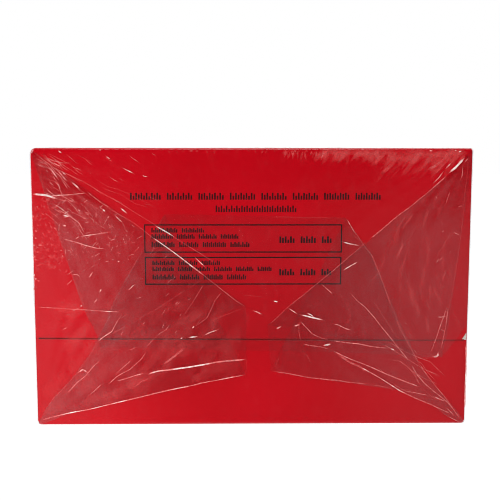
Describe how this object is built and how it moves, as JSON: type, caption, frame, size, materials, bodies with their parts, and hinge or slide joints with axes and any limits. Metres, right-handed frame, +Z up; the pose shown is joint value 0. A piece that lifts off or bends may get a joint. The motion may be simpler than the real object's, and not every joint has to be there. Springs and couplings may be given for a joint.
{
  "type": "tea box",
  "caption": "Shut rectangular tea carton of coated red board in a tight clear film overwrap, with envelope-folded ends; stores and ships packed tea.",
  "frame": {"origin": "middle of the long side that the pack lies on", "axes": "+Z up, the end with the printed panel towards -Y, +X to the right as seen from that end"},
  "size_m": [0.1453, 0.13, 0.093],
  "materials": {
    "board": "red coated carton board, satin",
    "film": "clear crinkled overwrap film, glossy"
  },
  "bodies": {
    "root": {"carton": "board", "film_wrap": "film"}
  },
  "joints": []
}
